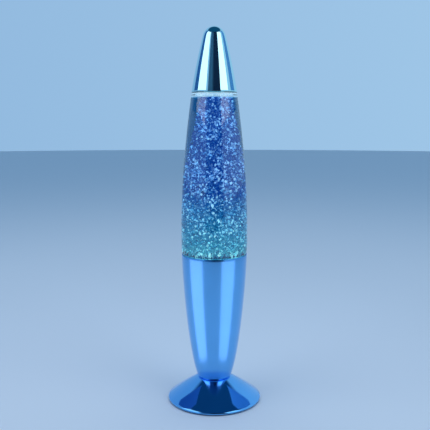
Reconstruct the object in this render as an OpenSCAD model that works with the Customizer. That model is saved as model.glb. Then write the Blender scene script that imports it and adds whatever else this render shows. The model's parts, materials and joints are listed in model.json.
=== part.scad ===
// Glitter lamp: a tapered glass bottle of glitter fluid on a two-piece spun base, with a bullet-shaped cap.
// Units are millimetres. +Z is up, and the origin is on the table under the lamp's axis. +Y is the back.

/* [Overall] */
// Height from the table to the tip of the cap
lamp_h = 350; // [345:1:360]
// Sheet thickness of the spun metal shells
sheet = 0.8; // [0.6:0.1:0.9]

/* [Foot] */
// Radius of the foot over its rolled rim
foot_r = 44.4; // [43.5:0.1:46]
// Height of the foot's flat top
foot_top_z = 21.8; // [21.5:0.1:22.2]
// Radius of the foot's flat top
foot_top_r = 16; // [15.5:0.1:16.5]
// Radius of the rolled rim's bead
rim_bead_r = 1.1; // [0.9:0.1:1.3]

/* [Base cone] */
// Height of the mouth that takes the bottle
mouth_z = 141.6; // [141:0.2:143]
// Outer radius of the mouth
mouth_r = 30.6; // [30.5:0.1:30.8]
// Outer radius where the flank would meet the foot
waist_r = 14.6; // [14.4:0.1:15]
// How quickly the flank flares out of the waist
waist_flare = 0.67; // [0.65:0.01:0.7]
// How strongly the flank curves into the mouth
mouth_curve = 1.34; // [1.3:0.01:1.4]

/* [Bottle] */
// Largest outer radius of the glass
bottle_r = 30.9; // [30.8:0.1:31.2]
// Height of the bottle's flat bottom
bottle_z = 114; // [113.5:0.5:115]
// Height of the ledge that the cap rests on
ledge_z = 291.3; // [290:0.1:292]
// Outer radius of the glass at that ledge
ledge_r = 20.65; // [20.6:0.05:21]
// Wall thickness of the glass
glass_wall = 2.2; // [1.8:0.1:2.6]
// Level of the fluid
fluid_z = 288; // [270:0.5:288]
// Number of glitter flakes
flake_count = 72; // [40:4:100]

/* [Cap] */
// Outer radius of the cap's rim
cap_r = 20.9; // [20.8:0.1:21]
// Radius of the cap's round nose
nose_r = 10.5; // [10:0.1:11]

/* [Light bulb] */
// Radius of the reflector bulb
bulb_r = 19.5; // [18.5:0.5:20]
// Height of the bulb's top
bulb_top_z = 107; // [104:0.5:108]
// Height of the bulb's contact tip
bulb_tip_z = 41; // [40.5:0.1:41]
// Rise of the screw thread in one turn
thread_pitch = 2.82; // [2.82:0.01:2.82]

/* [Mains inlet] */
// Bore of the cord gland
gland_bore_r = 3.2; // [2.6:0.1:3.3]
// Height of the gland's axis
gland_z = 8; // [7.8:0.1:8.2]

/* [Hidden] */

round_fn = 96;
gap = 0.05;            // clearance between pieces that sit together in one body
curve_steps = 20;      // straight steps along a curved flank

// Stack at the waist, from the foot's top plate downwards and upwards
cone_floor_z = foot_top_z;
fibre_z = cone_floor_z + sheet;
fibre_t = 0.8;
holder_z = fibre_z + fibre_t;
washer_t = 0.8;
washer_z = foot_top_z - sheet - washer_t;
strap_t = 1.2;
strap_top_z = washer_z;
tag_t = 0.6;
tag_z = strap_top_z - strap_t - tag_t;
nut_h = 3;
nut_z = tag_z - nut_h;
nipple_r = 4.9;
nipple_bore_r = 3.4;
nipple_hole_r = nipple_r + 0.15;
nipple_z = nut_z - 1.2;
nipple_top_z = holder_z + 4;

// Lamp holder
holder_r = 13.5;
holder_top_z = 64;
chamber_r = 9;
chamber_top_z = 33;
well_floor_z = 35;
well_r = 8.7;
sleeve_z = 44;
sleeve_top_z = 61;
sleeve_r = 8.5;
ledge_bore_r = 7.6;    // the well below the ledge that the sleeve stands on
thread_r = 6.54;       // mean radius of the bulb's thread
thread_depth = 0.8;
thread_gap = 0.3;      // clearance in the thread
thread_sides = 24;
thread_steps = 10;     // rings of points in one turn of the thread
plunger_r = 1.8;
plunger_travel = 1.9;
stop_r = 2.7;          // flange that stops the plunger under the well's floor
collar_r = 3.4;
collar_z = 39;
spring_wire_r = 0.25;
spring_r = 2.7;
spring_turns = 4;
post_x = 6.2;          // the two terminal posts stand on each side of the nipple

// Bottom cover
cover_z = 2.2;
cover_t = 1.5;
cover_r = 41.1;
cover_top_z = cover_z + cover_t;
cover_screw_x = 30;
cover_screw_r = 1.5;
foot_pad_ring_r = 33;
foot_pad_r = 5;
foot_pad_angles = [45, 135, 225, 315];

// Mains connections
block_y = -18;
block_size = [25, 12, 8.5];
pole_pitch = 8;
clamp_y = 21;
clamp_hole_x = 7.5;
clamp_screw_r = 1.2;
lead_r = 0.8;
post_lead_z = holder_z + 5.9;

// Profiles, as radius at a height
function cone_r(z) =
    let (u = (z - foot_top_z) / (mouth_z - foot_top_z))
    waist_r + (mouth_r - waist_r) * (1 - pow(1 - pow(u, waist_flare), mouth_curve));
function bottle_flank_r(z) =
    let (from = 165, v = max(0, (z - from) / (ledge_z - from)))
    bottle_r - (bottle_r - ledge_r) * pow(v, 1.8);
function cap_flank_r(h) = cap_r - 0.161 * h - 0.00096 * h * h;
function foot_flank(u) =
    let (a = [foot_top_r, foot_top_z], b = [foot_r - 0.5, 3],
         side = [a[1] - b[1], b[0] - a[0]] / norm(b - a))
    a + (b - a) * u + side * 2.5 * u * (1 - u);
function arc(c, r, from, to, n = 8) =
    [for (i = [0:n]) let (a = from + (to - from) * i / n) c + r * [cos(a), sin(a)]];
function inset(points, t) =
    [for (i = [0:len(points) - 1])
        let (p = points[max(0, i - 1)], q = points[min(len(points) - 1, i + 1)], d = (q - p) / norm(q - p))
        points[i] + t * [-d[1], d[0]]];
function reverse(points) = [for (i = [len(points) - 1:-1:0]) points[i]];

// Cuts each corner of a path into two
function rounded(p) = concat(
    [p[0]],
    [for (i = [0:len(p) - 2]) for (t = [0.25, 0.75]) p[i] * (1 - t) + p[i + 1] * t],
    [p[len(p) - 1]]);

// Radius of the screw thread, seen at an angle and a height
function thread_wave(r, angle, z) = r + thread_depth / 2 * cos(angle - 360 * (z - sleeve_z) / thread_pitch);

// The part of a sideways vector that is square to a direction
function squared(x, direction) = let (s = x - (x * direction) * direction) s / norm(s);

// A turned piece from a closed outline of [radius, height] points
module turned(points, fn = round_fn) { rotate_extrude($fn = fn) polygon(points); }

module ring(r, bore, z, h, fn = round_fn) {
    translate([0, 0, z]) difference() {
        cylinder(r = r, h = h, $fn = fn);
        translate([0, 0, -1]) cylinder(r = bore, h = h + 2, $fn = fn);
    }
}

// Closes a stack of rings of points into a solid
module stacked(rings) {
    n = len(rings);
    sides = len(rings[0]);
    walls = [for (i = [0:n - 2]) for (k = [0:sides - 1])
        let (m = (k + 1) % sides, a = i * sides + k, b = i * sides + m)
        each [[a, a + sides, b], [b, a + sides, b + sides]]];
    polyhedron([for (ring = rings) each ring], concat(
        [[for (k = [0:sides - 1]) k]],
        walls,
        [[for (k = [sides - 1:-1:0]) (n - 1) * sides + k]]));
}

// A round wire along a list of points
module wire(path, r, sides = 8) {
    n = len(path);
    along = [for (i = [0:n - 1]) let (d = path[min(n - 1, i + 1)] - path[max(0, i - 1)]) d / norm(d)];
    first = squared(abs(along[0][2]) < 0.8 ? [0, 0, 1] : [1, 0, 0], along[0]);
    across = [for (i = 0, x = first; i < n; i = i + 1, x = i < n ? squared(x, along[i]) : x) x];
    stacked([for (i = [0:n - 1]) let (x = across[i], y = cross(along[i], x))
        [for (k = [0:sides - 1]) let (a = 360 * k / sides) path[i] + r * (cos(a) * x + sin(a) * y)]]);
}

// A one-start round screw thread that rises with the turn to the left
module round_thread(r, z, h) {
    steps = ceil(h / thread_pitch * thread_steps);
    stacked([for (i = [0:steps]) let (level = z + h * i / steps)
        [for (k = [0:thread_sides - 1]) let (a = 360 * k / thread_sides, w = thread_wave(r, a, level))
            [w * cos(a), w * sin(a), level]]]);
}

// ---- Cap ----
module top_cap() {
    nose_z = lamp_h - nose_r;
    meet = 14;
    flank_h = nose_z + nose_r * sin(meet) - ledge_z;
    flank = [for (i = [0:curve_steps - 1]) let (h = flank_h * i / curve_steps) [cap_flank_r(h), ledge_z + h]];
    outer = concat(flank, arc([0, nose_z], nose_r, meet, 90, 14));
    inner_flank = [for (p = flank) [p[0] - sheet, p[1]]];
    inner = concat(inner_flank, arc([0, nose_z], nose_r - sheet, meet, 90, 14));
    color([0.80, 0.92, 0.96]) turned(concat(outer, reverse(inner)));
}

// ---- Bottle ----
crown_z = 315;
finish_r = 13.2;
bore_r = 8.2;

// Outer outline of the glass, from the middle of its base up to the lip
function glass_outer() = concat(
    [[0, bottle_z + 2.4], [9, bottle_z + 1.8], [15, bottle_z + 0.7], [18, bottle_z]],
    arc([22.5, bottle_z + 4.5], 4.5, -90, -6, 6),
    [[29.4, mouth_z + 0.1], [30.1, mouth_z + 0.55], [30.5, mouth_z + 1.4], [30.7, mouth_z + 5]],
    [for (i = [0:curve_steps]) let (z = 153 + (ledge_z - 153) * i / curve_steps) [bottle_flank_r(z), z]],
    [[19.5, ledge_z], [19.4, ledge_z + 1.5]],
    arc([16, ledge_z + 4], 3, 0, 60, 4),
    arc([14.5, ledge_z + 12.5], 2, 240, 180, 4),
    [[12.5, crown_z - 7.5], [finish_r, crown_z - 6.5], [finish_r, crown_z - 2.5]],
    arc([finish_r - 2, crown_z - 2], 2, 0, 90, 4));

// Inside of the glass, from the middle of its floor up to the lip
function glass_inner() = concat(
    [[0, bottle_z + 6.4], [9, bottle_z + 5.8], [15, bottle_z + 4.7], [18, bottle_z + 4]],
    arc([20.5, bottle_z + 8.5], 4.5, -90, -6, 5),
    [[29.4 - glass_wall, mouth_z + 0.1], [30.5 - glass_wall, mouth_z + 5]],
    [for (i = [0:curve_steps]) let (z = 153 + (ledge_z - 3 - 153) * i / curve_steps)
        [bottle_flank_r(z) - glass_wall, z]],
    [[17.3, ledge_z - 0.5], [16.6, ledge_z + 1.5]],
    arc([14, ledge_z + 3.5], 2.2, 0, 60, 3),
    [[10.2, ledge_z + 9.5], [bore_r, ledge_z + 13], [bore_r, crown_z]]);

module glass_bottle() {
    color([0.75, 0.87, 0.95, 0.35]) turned(concat(glass_outer(), reverse(glass_inner())));
}

// Hexagonal foil flakes, spread through the fluid by the golden angle
module flakes(grow) {
    low = bottle_z + 9;
    high = fluid_z - 3;
    for (i = [0:flake_count - 1]) {
        z = low + (high - low) * (i + 0.5) / flake_count;
        reach = (min(bottle_flank_r(z), 27.5) - glass_wall - 2.5) * sqrt(((i * 7) % 13 + 1) / 13);
        turn = i * 137.508;
        translate([reach * cos(turn), reach * sin(turn), z])
            rotate([(i * 47) % 180, (i * 71) % 90, (i * 29) % 360])
                cylinder(r = 1.2 + grow, h = 0.2 + 2 * grow, $fn = 6, center = true);
    }
}

module glitter_flakes() { color([0.75, 0.88, 1.0]) flakes(0); }

module liquid_fill() {
    wet = [for (p = glass_inner()) if (p[1] < fluid_z - 0.5) [max(0, p[0] - gap), p[1] + gap]];
    top_r = bottle_flank_r(fluid_z) - glass_wall - gap;
    color([0.10, 0.35, 0.80, 0.6]) difference() {
        turned(concat(wet, [[top_r, fluid_z], [0, fluid_z]]));
        flakes(gap);
    }
}

module crown_liner() {
    color([0.85, 0.85, 0.82]) translate([0, 0, crown_z]) cylinder(r = 12.6, h = 0.8, $fn = round_fn);
}

// Pressed closure with 21 flutes round its skirt
module crown_cap() {
    flutes = 21;
    skirt_z = crown_z - 5.4;
    top_z = crown_z + 0.8;
    color([0.78, 0.78, 0.76]) difference() {
        turned([[0, top_z], [12.9, top_z], [13.4, crown_z - 1.6], [14.3, skirt_z], [15.6, skirt_z],
            [14.3, crown_z - 0.6], [13.0, top_z + 0.4], [0, top_z + 0.4]]);
        for (i = [0:flutes - 1])
            rotate([0, 0, 360 * i / flutes]) translate([16.3, 0, skirt_z - 1]) rotate([0, -8, 0])
                cylinder(r = 1.2, h = 5.2, $fn = 24);
    }
}

// ---- Base shells ----
module bottle_seat_ring() {
    low = bottle_z - 3;
    wall = sheet + gap + 0.1;
    color([0.12, 0.12, 0.13]) turned([
        [20.5, low], [cone_r(low) - wall, low], [cone_r(bottle_z + 3) - wall, bottle_z + 3],
        [cone_r(bottle_z + 3) - wall - 0.9, bottle_z + 3], [27.4, bottle_z], [20.5, bottle_z]]);
}

module base_cone() {
    heel_r = 3;
    heel_z = foot_top_z + heel_r;
    heel = arc([cone_r(heel_z) - heel_r, heel_z], heel_r, -90, -12, 6);
    flank = [for (i = [1:curve_steps])
        let (z = heel_z + (mouth_z - heel_z) * i / curve_steps) [cone_r(z), z]];
    outer = concat([[nipple_hole_r, foot_top_z]], heel, flank);
    inner = concat(
        [[nipple_hole_r, foot_top_z + sheet]],
        arc([cone_r(heel_z) - heel_r, heel_z], heel_r - sheet, -90, -12, 6),
        [for (p = flank) [p[0] - sheet, p[1]]]);
    color([0.30, 0.58, 0.90]) turned(concat(outer, reverse(inner)));
}

module foot_outline() {
    flank = [for (i = [0:12]) foot_flank(i / 12)];
    bead = arc([foot_r - rim_bead_r, 1.95], rim_bead_r, 40, -180, 12);
    inner = [for (p = inset(flank, -sheet)) if (p[1] < foot_top_z - sheet && p[1] > 3) p];
    polygon(concat(
        [[nipple_hole_r, foot_top_z]], flank, bead, reverse(inner),
        [[foot_top_r - sheet / 2, foot_top_z - sheet], [nipple_hole_r, foot_top_z - sheet]]));
}

module base_foot() {
    color([0.22, 0.50, 0.86]) difference() {
        rotate_extrude($fn = round_fn) foot_outline();
        translate([0, 25, gland_z]) rotate([-90, 0, 0]) cylinder(r = 4.3, h = 30, $fn = 48);
    }
}

// ---- Lamp holder ----
module holder_body() {
    color([0.10, 0.10, 0.11]) difference() {
        turned([
            [nipple_hole_r, holder_z], [holder_r, holder_z], [holder_r, holder_top_z - 1],
            [holder_r - 1, holder_top_z], [well_r, holder_top_z], [well_r, sleeve_z],
            [ledge_bore_r, sleeve_z], [ledge_bore_r, well_floor_z],
            [plunger_r + 0.3, well_floor_z], [plunger_r + 0.3, chamber_top_z], [chamber_r, chamber_top_z],
            [chamber_r, holder_z + 4], [nipple_hole_r, holder_z + 4]]);
        for (x = [-post_x, post_x]) translate([x, 0, chamber_top_z - 1]) cylinder(r = 0.9, h = 6, $fn = 24);
    }
}

module holder_sleeve() {
    color([0.80, 0.65, 0.30]) difference() {
        translate([0, 0, sleeve_z]) cylinder(r = sleeve_r, h = sleeve_top_z - sleeve_z, $fn = 48);
        round_thread(thread_r + thread_gap, sleeve_z - 1, sleeve_top_z - sleeve_z + 2);
    }
}

// Brass posts that take the ends of the leads and pass up through the well's floor
module holder_terminals() {
    color([0.80, 0.65, 0.30]) for (x = [-post_x, post_x]) difference() {
        union() {
            translate([x, 0, holder_z + 4.2]) cylinder(r = 1.9, h = chamber_top_z - holder_z - 4.2, $fn = 32);
            translate([x, 0, chamber_top_z - 0.5]) cylinder(r = 0.85, h = 4, $fn = 24);
        }
        translate([x, 0, post_lead_z]) rotate([0, x < 0 ? 90 : -90, 0])
            translate([0, 0, -0.8]) cylinder(r = lead_r + 0.1, h = 6, $fn = 24);
    }
}

module contact_plunger() {
    stop_z = chamber_top_z - plunger_travel - 0.1;
    color([0.80, 0.65, 0.30]) turned([
        [0, stop_z - 0.6], [stop_r, stop_z - 0.6], [stop_r, stop_z], [plunger_r, stop_z],
        [plunger_r, collar_z], [collar_r, collar_z],
        [collar_r, collar_z + 0.6], [plunger_r, collar_z + 0.6], [plunger_r, bulb_tip_z - 0.4],
        [plunger_r - 0.4, bulb_tip_z], [0, bulb_tip_z]], 48);
}

module contact_spring() {
    low = well_floor_z + spring_wire_r + gap;
    high = collar_z - spring_wire_r - gap;
    steps = spring_turns * 14;
    color([0.70, 0.70, 0.72]) wire([for (i = [0:steps]) let (a = 360 * spring_turns * i / steps)
        [spring_r * cos(a), spring_r * sin(a), low + (high - low) * i / steps]], spring_wire_r, 6);
}

module fibre_washer() { color([0.55, 0.30, 0.18]) ring(9, nipple_hole_r, fibre_z, fibre_t); }

module holder_nipple() {
    color([0.75, 0.75, 0.77]) ring(nipple_r, nipple_bore_r, nipple_z, nipple_top_z - nipple_z, 48);
}

module toothed_washer() {
    teeth = 12;
    color([0.70, 0.70, 0.72]) difference() {
        ring(8.5, nipple_hole_r, washer_z, washer_t, 48);
        for (i = [0:teeth - 1])
            rotate([0, 0, 360 * i / teeth]) translate([8.9, 0, washer_z - 1])
                cylinder(r = 1, h = washer_t + 2, $fn = 16);
    }
}

module nipple_nut() {
    color([0.75, 0.75, 0.77]) translate([0, 0, nut_z]) difference() {
        cylinder(r = 8.1, h = nut_h, $fn = 6);
        translate([0, 0, -1]) cylinder(r = nipple_hole_r, h = nut_h + 2, $fn = 48);
    }
}

// Ring terminal that bonds the metal shells
module earth_tag() {
    color([0.80, 0.80, 0.82]) difference() {
        union() {
            ring(7.6, nipple_hole_r, tag_z, tag_t, 48);
            translate([-2, -13, tag_z]) cube([4, 7, tag_t]);
        }
        translate([0, 0, tag_z - 1]) cylinder(r = nipple_hole_r, h = tag_t + 2, $fn = 48);
    }
}

// ---- Bulb ----
bulb_neck_z = 66;
bulb_foot_z = 64.3;
bulb_neck_r = 7.2;
bulb_wide_z = 95;
bulb_wall = 0.6;

// Reflector flank from the neck to the widest ring, then a flat dome
function bulb_outline(t) = concat(
    [for (i = [0:12]) let (u = i / 12)
        [bulb_neck_r + (bulb_r - bulb_neck_r) * pow(sin(90 * u), 1.6) - t,
         bulb_neck_z + (bulb_wide_z - bulb_neck_z) * u]],
    [for (i = [1:12]) let (a = 90 * i / 12)
        [(bulb_r - t) * pow(cos(a), 0.55), bulb_wide_z + (bulb_top_z - bulb_wide_z - t) * pow(sin(a), 1.1)]]);

module bulb_glass() {
    outer = concat([[bulb_neck_r, bulb_foot_z]], bulb_outline(0));
    inner = concat([[bulb_neck_r - bulb_wall, bulb_foot_z]], bulb_outline(bulb_wall));
    color([0.92, 0.94, 0.96, 0.5]) turned(concat(outer, reverse(inner)));
}

cap_thread_z = 46;
cap_thread_h = 13.6;

module bulb_screw_cap() {
    collar_z = cap_thread_z + cap_thread_h;
    collar_top_z = bulb_neck_z - 0.1;
    color([0.82, 0.80, 0.72]) difference() {
        union() {
            round_thread(thread_r, cap_thread_z, cap_thread_h);
            turned([[0, 44], [4.7, 44], [6.1, cap_thread_z + 0.1], [0, cap_thread_z + 0.1]], 48);
            turned([
                [0, collar_z - 0.1], [6.1, collar_z - 0.1], [6.1, 61.8],
                [8.1, 63.4], [8.1, collar_top_z], [0, collar_top_z]], 48);
        }
        turned([
            [0, 43], [3.9, 43], [3.9, cap_thread_z + 0.6], [5.5, cap_thread_z + 0.6], [5.5, 62],
            [bulb_neck_r + gap, 63.9], [bulb_neck_r + gap, 69], [0, 69]], 48);
    }
}

module bulb_insulator() {
    color([0.08, 0.08, 0.09]) turned([
        [1.9, 42.4], [3.2, 42.4], [3.85, 43.4], [3.85, 46.4], [1.9, 46.4]], 48);
}

module bulb_contact() {
    color([0.75, 0.76, 0.78]) turned([
        [0, bulb_tip_z], [1.2, bulb_tip_z], [2.3, bulb_tip_z + 0.7],
        [2.3, 42.35], [1.85, 42.35], [1.85, 44], [0, 44]], 48);
}

// Glass mount: a flared tube pinched flat at its top
module bulb_stem() {
    color([0.85, 0.90, 0.92, 0.5]) union() {
        turned([[1.4, 64.8], [6.4, 64.8], [6.4, 65.5], [2.6, 68.5], [2.2, 76], [1.4, 76]], 48);
        translate([-2.6, -0.9, 75.8]) cube([5.2, 1.8, 5]);
    }
}

module bulb_posts() {
    color([0.70, 0.70, 0.72]) for (s = [-1, 1])
        wire([[s * 1.6, 0, 80.9], [s * 2.6, 0, 84], [s * 6, 0, 88], [s * 7.5, 0, 92]], 0.25, 8);
}

module bulb_filament() {
    color([0.55, 0.52, 0.50]) wire([for (i = [0:24]) let (a = -160 + 320 * i / 24)
        [7.2 * sin(a / 160 * 88), 1.2 * sin(4 * a), 92.4 + 2.2 * cos(a / 160 * 90)]], 0.2, 6);
}

// ---- Under the foot ----
module cover_strap() {
    half_w = 8;
    path = [[8.5, strap_top_z - strap_t], [24, cover_top_z], [35, cover_top_z]];
    top = [[35, cover_top_z + strap_t], [24.6, cover_top_z + strap_t], [9.1, strap_top_z]];
    outline = concat(path, top);
    color([0.70, 0.70, 0.72]) difference() {
        translate([0, half_w, 0]) rotate([90, 0, 0]) linear_extrude(height = 2 * half_w)
            polygon(concat(outline, [for (p = reverse(outline)) [-p[0], p[1]]]));
        translate([0, 0, strap_top_z - 3]) cylinder(r = nipple_hole_r, h = 5, $fn = 48);
        for (x = [-cover_screw_x, cover_screw_x])
            translate([x, 0, 0]) cylinder(r = cover_screw_r, h = 9, $fn = 32);
    }
}

module bottom_cover() {
    vents = 10;
    color([0.09, 0.09, 0.10]) difference() {
        translate([0, 0, cover_z]) cylinder(r = cover_r, h = cover_t, $fn = round_fn);
        for (x = [-cover_screw_x, cover_screw_x])
            translate([x, 0, 0]) cylinder(r = cover_screw_r + 0.2, h = 9, $fn = 32);
        for (a = foot_pad_angles)
            rotate([0, 0, a]) translate([foot_pad_ring_r, 0, 0]) cylinder(r = 1.9, h = 9, $fn = 32);
        for (i = [0:vents - 1])
            rotate([0, 0, 18 + 360 * i / vents]) translate([11.5, -0.9, 0]) cube([3.6, 1.8, 9]);
        for (x = [-clamp_hole_x, clamp_hole_x])
            translate([x, clamp_y, 0]) cylinder(r = clamp_screw_r, h = 9, $fn = 24);
    }
}

module cover_screws() {
    color([0.75, 0.75, 0.77]) for (x = [-cover_screw_x, cover_screw_x]) translate([x, 0, 0]) difference() {
        union() {
            translate([0, 0, 0.7]) cylinder(r1 = 2.3, r2 = 2.8, h = 0.5, $fn = 32);
            translate([0, 0, 1.2]) cylinder(r = 2.8, h = cover_z - 1.2, $fn = 32);
            translate([0, 0, cover_z - 0.1]) cylinder(r = cover_screw_r - 0.08, h = 5, $fn = 32);
        }
        for (turn = [0, 90]) rotate([0, 0, turn]) translate([-1.5, -0.3, 0]) cube([3, 0.6, 1.5]);
    }
}

module rubber_feet() {
    color([0.12, 0.12, 0.13]) for (a = foot_pad_angles) rotate([0, 0, a]) translate([foot_pad_ring_r, 0, 0])
        turned([
            [0, 0], [foot_pad_r - 0.6, 0], [foot_pad_r, 0.6], [foot_pad_r - 0.3, cover_z],
            [1.85, cover_z], [1.85, cover_top_z], [2.4, cover_top_z + 0.05],
            [1.3, cover_top_z + 1.4], [0, cover_top_z + 1.4]], 48);
}

// ---- Mains inlet and wiring ----
module cord_gland() {
    inner_end = 29;
    outer_end = 43.6;
    color([0.10, 0.10, 0.11]) difference() {
        union() {
            translate([0, inner_end, gland_z]) rotate([-90, 0, 0])
                cylinder(r = 4.2, h = outer_end - inner_end - 1, $fn = 48);
            difference() {
                translate([0, inner_end + 2, gland_z]) rotate([-90, 0, 0]) union() {
                    cylinder(r = 5.4, h = outer_end - inner_end - 3, $fn = 48);
                    translate([0, 0, outer_end - inner_end - 3])
                        cylinder(r1 = 5.4, r2 = 4.6, h = 1, $fn = 48);
                }
                turned([
                    [0, -1], [foot_r + gap, -1], [foot_r + gap, 3],
                    for (i = [12:-1:0]) foot_flank(i / 12) + [gap, gap],
                    [0, foot_top_z + gap]]);
            }
        }
        translate([0, inner_end - 1, gland_z]) rotate([-90, 0, 0])
            cylinder(r = gland_bore_r, h = outer_end - inner_end + 3, $fn = 48);
    }
}

// Saddle that would hold the cord down on the cover
module cord_clamp() {
    half_l = 10.5;
    color([0.85, 0.85, 0.83]) difference() {
        translate([0, clamp_y + 3, cover_top_z]) rotate([90, 0, 0]) linear_extrude(height = 6) difference() {
            union() {
                translate([-half_l, 0]) square([2 * half_l, 1.6]);
                translate([0, 4.2]) circle(r = 4.8, $fn = 48);
                translate([-4.8, 0]) square([9.6, 4.2]);
            }
            translate([0, 4.2]) circle(r = 3.2, $fn = 48);
            translate([-3.2, -1]) square([6.4, 5.2]);
            translate([-half_l, -6]) square([2 * half_l, 6]);
        }
        for (x = [-clamp_hole_x, clamp_hole_x])
            translate([x, clamp_y, 0]) cylinder(r = clamp_screw_r + 0.15, h = 9, $fn = 24);
    }
}

module clamp_screws() {
    head_z = cover_top_z + 1.6;
    color([0.75, 0.75, 0.77]) for (x = [-clamp_hole_x, clamp_hole_x])
        translate([x, clamp_y, 0]) difference() {
        union() {
            translate([0, 0, cover_z + 0.2])
                cylinder(r = clamp_screw_r - 0.06, h = head_z - cover_z, $fn = 24);
            translate([0, 0, head_z]) cylinder(r = 2.2, h = 1.2, $fn = 24);
        }
        translate([-1.6, -0.3, head_z + 0.7]) cube([3.2, 0.6, 2]);
    }
}

module terminal_block() {
    color([0.90, 0.90, 0.86]) difference() {
        union() {
            translate([-block_size[0] / 2, block_y - block_size[1] / 2, cover_top_z])
                cube(block_size - [0, 0, 1.5]);
            for (i = [-1:1]) translate([i * pole_pitch, block_y, cover_top_z])
                translate([-3, -block_size[1] / 2, 0]) cube([6, block_size[1], block_size[2]]);
        }
        for (i = [-1:1]) translate([i * pole_pitch, block_y, cover_top_z]) {
            translate([0, -10, 4]) rotate([-90, 0, 0]) cylinder(r = 1.3, h = 20, $fn = 24);
            for (y = [-3.5, 3.5]) translate([0, y, 4]) cylinder(r = 1.6, h = 9, $fn = 24);
        }
    }
}

module terminal_screws() {
    color([0.80, 0.68, 0.35]) for (i = [-1:1]) for (y = [-3.5, 3.5])
        translate([i * pole_pitch, block_y + y, cover_top_z + 5.4]) difference() {
            cylinder(r = 1.45, h = 2.2, $fn = 24);
            translate([-1.2, -0.25, 1.5]) cube([2.4, 0.5, 2]);
        }
}

block_out_y = block_y + block_size[1] / 2 - 1.5;
lead_z = cover_top_z + 4;

// Route of a lead from the block, up through the nipple and out to its post; side is -1 or 1
function supply_route(side) = [
    [8 * side, block_out_y, lead_z], [8 * side, -9, lead_z], [6.5 * side, -6, 8], [4 * side, -3, 9],
    [2.2 * side, -1, 11], [1.6 * side, 0, 14], [1.6 * side, 0, 20], [1.6 * side, 0, 27],
    [2 * side, 0, post_lead_z - 0.7], [3 * side, 0, post_lead_z], [post_x * side, 0, post_lead_z]];

module live_lead() {
    color([0.45, 0.26, 0.16]) wire(rounded(supply_route(-1)), lead_r);
}

module neutral_lead() {
    color([0.20, 0.35, 0.75]) wire(rounded(supply_route(1)), lead_r);
}

module earth_lead() {
    color([0.45, 0.65, 0.20]) wire(rounded([
        [0, block_out_y, lead_z], [0, -11, lead_z], [0, -9.6, 8.6], [0, -9.6, 10.4], [0, -10.6, 13],
        [0, -11.2, tag_z - gap]]), lead_r);
}

top_cap();
crown_cap();
crown_liner();
glass_bottle();
liquid_fill();
glitter_flakes();
bottle_seat_ring();
base_cone();
base_foot();
holder_body();
holder_sleeve();
holder_terminals();
contact_plunger();
contact_spring();
fibre_washer();
holder_nipple();
toothed_washer();
nipple_nut();
earth_tag();
bulb_glass();
bulb_screw_cap();
bulb_insulator();
bulb_contact();
bulb_stem();
bulb_posts();
bulb_filament();
cover_strap();
bottom_cover();
cover_screws();
rubber_feet();
cord_gland();
cord_clamp();
clamp_screws();
terminal_block();
terminal_screws();
live_lead();
neutral_lead();
earth_lead();
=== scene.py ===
"""Glitter lamp: finishes, smooth shells, fluid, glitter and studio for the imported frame."""

import json
import math
import random

import bpy
from bpy.props import FloatProperty, FloatVectorProperty, IntProperty, PointerProperty
from bpy.types import Operator, Panel, PropertyGroup
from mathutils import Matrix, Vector, noise


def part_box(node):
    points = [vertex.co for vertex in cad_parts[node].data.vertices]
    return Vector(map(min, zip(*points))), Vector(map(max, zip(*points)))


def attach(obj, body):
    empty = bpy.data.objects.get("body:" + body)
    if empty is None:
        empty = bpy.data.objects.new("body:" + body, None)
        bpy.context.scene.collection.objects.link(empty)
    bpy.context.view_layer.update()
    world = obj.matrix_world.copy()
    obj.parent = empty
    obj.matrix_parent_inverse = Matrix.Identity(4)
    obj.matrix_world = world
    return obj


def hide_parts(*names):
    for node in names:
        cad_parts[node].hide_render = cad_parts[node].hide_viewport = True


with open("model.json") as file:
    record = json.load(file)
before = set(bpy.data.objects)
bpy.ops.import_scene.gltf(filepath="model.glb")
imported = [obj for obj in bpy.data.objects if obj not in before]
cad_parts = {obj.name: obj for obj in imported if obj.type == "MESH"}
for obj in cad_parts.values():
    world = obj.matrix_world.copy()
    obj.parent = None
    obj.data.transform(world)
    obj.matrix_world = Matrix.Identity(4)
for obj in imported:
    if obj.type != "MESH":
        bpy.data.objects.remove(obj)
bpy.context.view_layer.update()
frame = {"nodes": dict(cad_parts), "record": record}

bl_info = {
    "name": "Glitter Lamp",
    "version": (1, 0, 0),
    "blender": (4, 5, 0),
    "location": "3D View > Sidebar > Lamp",
    "description": "Builds a glitter lamp's shells, fluid, glitter and studio around its frame",
    "category": "Object",
}

MEASURED = ("top_cap", "base_cone", "base_foot", "glass_bottle", "liquid_fill")
BOXES = {node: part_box(node) for node in MEASURED}

MM = 0.001
SEGMENTS = 144          # faces round a turned shell
SHEET = 0.8 * MM        # spun sheet metal
SHEET_EDGE = 0.12 * MM  # softening of a sheet's edges
NIPPLE_HOLE = 5.1 * MM  # radius of the hole in the cone's floor and the foot's top
GLASS_HEEL = 4.5 * MM   # radius of the bend at the bottle's bottom
BUBBLE = 1.2 * MM       # froth bubbles
LATHE_PITCH = 0.7 * MM  # rings that the lathe leaves in spun metal
FLUID_IOR = 1.36        # water with glycol
GLASS_IOR = 1.50        # soda-lime glass

FLAKE_SIZES = (0.55, 1.3)   # smallest and largest flake, as shares of a middling one
FLAKE_GAP = 1.2 * MM        # kept between a flake's middle and the glass, or the fluid's top
CLOUD_CONTRAST = 1.1        # how strongly the clouds brighten and dim the flakes
CLEAR_FROM = 0.35           # share of the height where the flakes start to leave the glass

WHITE = (1, 1, 1)
LENS = 55.13            # focal length in mm
SENSOR = 36             # width in mm
CAMERA_PLACE = (0.65 * MM, -610.4 * MM, 263.3 * MM)
CAMERA_TILT = 7.935     # degrees below level


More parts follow.
